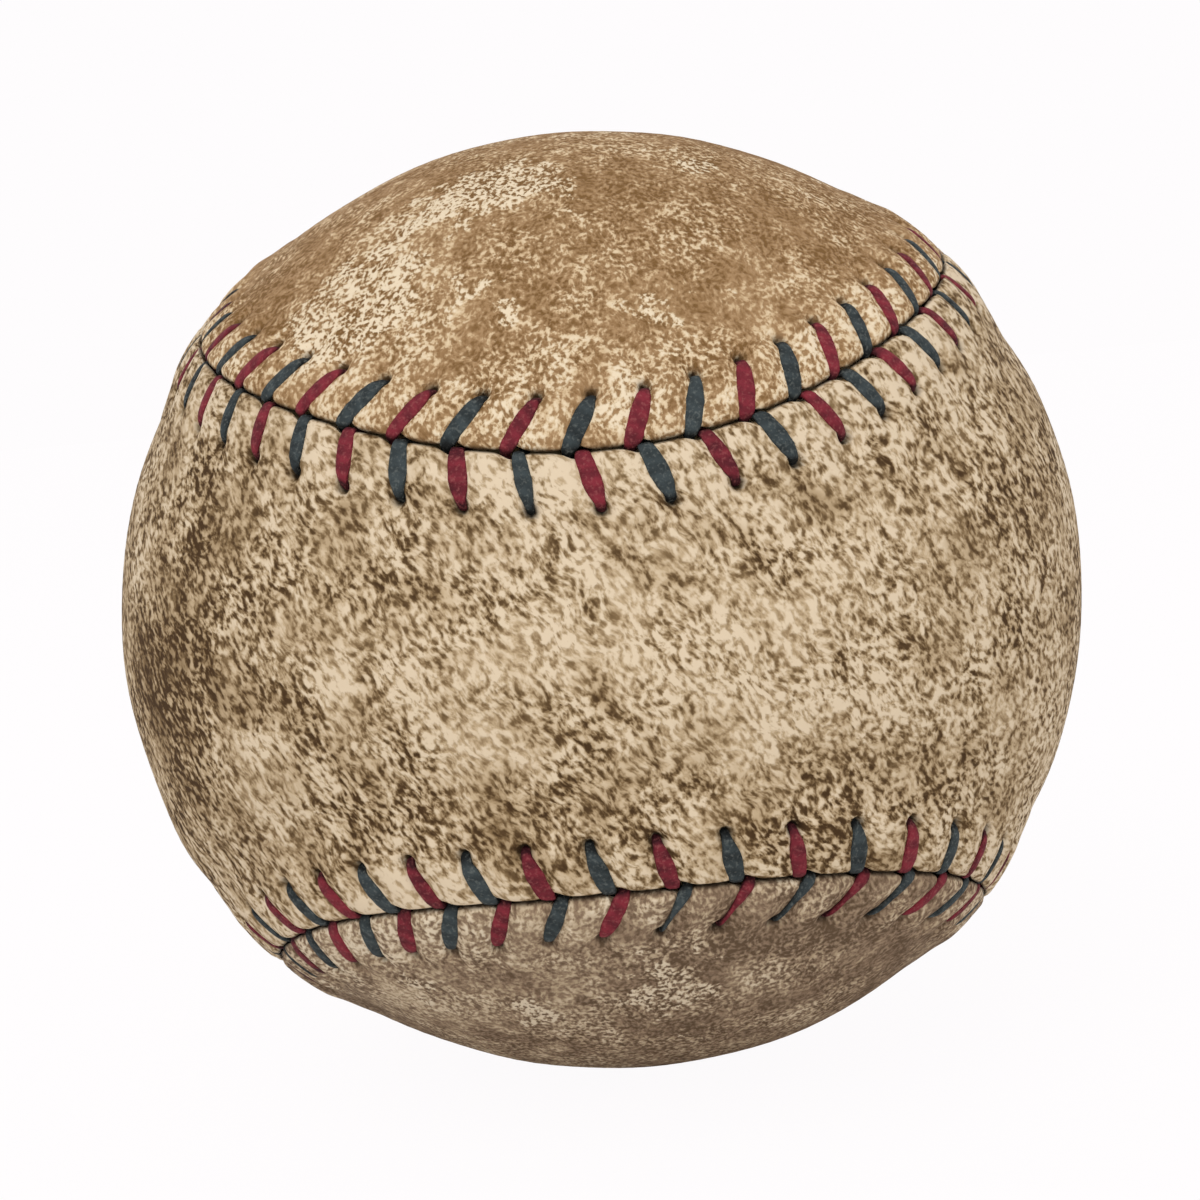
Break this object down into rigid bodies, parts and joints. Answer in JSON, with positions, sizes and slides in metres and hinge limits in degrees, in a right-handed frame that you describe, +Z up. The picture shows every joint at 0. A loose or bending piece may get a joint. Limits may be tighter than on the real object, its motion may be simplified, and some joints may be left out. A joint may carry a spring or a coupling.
{
  "type": "baseball",
  "caption": "Hand-laced leather baseball: two figure-eight panels with a raised seam of red and blue thread over wound yarn and a cushioned cork centre.",
  "frame": {"origin": "middle of the ball", "axes": "+Z up in the picture; -Y towards the camera, through the narrow waist of panel A; panel B's two lobes lie at +Z and -Z"},
  "size_m": [0.0734, 0.0747, 0.0734],
  "materials": {
    "cork": "pressed cork, matt",
    "black_rubber": "moulded, matt",
    "red_rubber": "moulded, matt",
    "grey_wool": "wound wool yarn",
    "white_wool": "wound wool yarn",
    "cotton_yarn": "wound fine cotton yarn",
    "rubber_cement": "thin tacky coat",
    "leather": "worn and stained cream horsehide, satin",
    "red_thread": "waxed, worn",
    "blue_thread": "waxed, worn"
  },
  "bodies": {
    "root": {"cork_core": "cork", "black_rubber_cup_top": "black_rubber", "black_rubber_cup_bottom": "black_rubber", "rubber_washer": "red_rubber", "red_rubber_jacket": "red_rubber", "grey_wool_winding_inner": "grey_wool", "white_wool_winding": "white_wool", "grey_wool_winding_outer": "grey_wool", "cotton_finish_winding": "cotton_yarn", "rubber_cement_coat": "rubber_cement", "cover_panel_a": "leather", "cover_panel_b": "leather", "red_thread": "red_thread", "blue_thread": "blue_thread"}
  },
  "joints": []
}
